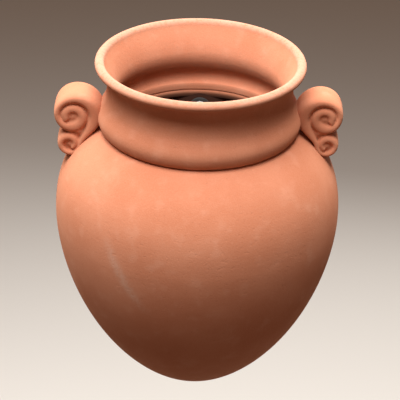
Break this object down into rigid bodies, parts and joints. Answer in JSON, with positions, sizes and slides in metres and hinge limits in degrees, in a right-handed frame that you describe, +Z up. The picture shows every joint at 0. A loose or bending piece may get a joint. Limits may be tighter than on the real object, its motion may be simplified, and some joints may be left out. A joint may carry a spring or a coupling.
{
  "type": "wall pot",
  "caption": "Round unglazed terracotta pot sliced flat down the back, with a rolled lip, grooved collar and scroll handles, hung on a wall by a screw.",
  "frame": {"origin": "where the axis of the fixing screw meets the plane of the pot's flat back, which is the wall's surface", "axes": "+Z up the wall, +Y out of the pot's back into the wall along the screw, +X to the right as seen from the front"},
  "size_m": [0.1944, 0.1943, 0.2562],
  "materials": {
    "thrown_clay": "unglazed terracotta, thrown, matt",
    "neck_clay": "unglazed terracotta, thrown and sponged, matt",
    "slab_clay": "unglazed terracotta, rolled slab, matt",
    "handle_clay": "unglazed terracotta, hand rolled, matt",
    "zinc_steel": "bright zinc plated, weathered",
    "black_rubber": "matt moulded rubber",
    "grey_nylon": "moulded nylon, matt"
  },
  "bodies": {
    "root": {"belly": "thrown_clay", "neck_collar": "neck_clay", "back_slab": "slab_clay", "left_scroll": "handle_clay", "right_scroll": "handle_clay", "wall_screw": "zinc_steel", "steel_washer": "zinc_steel", "rubber_washer": "black_rubber", "wall_plug": "grey_nylon"}
  },
  "joints": []
}
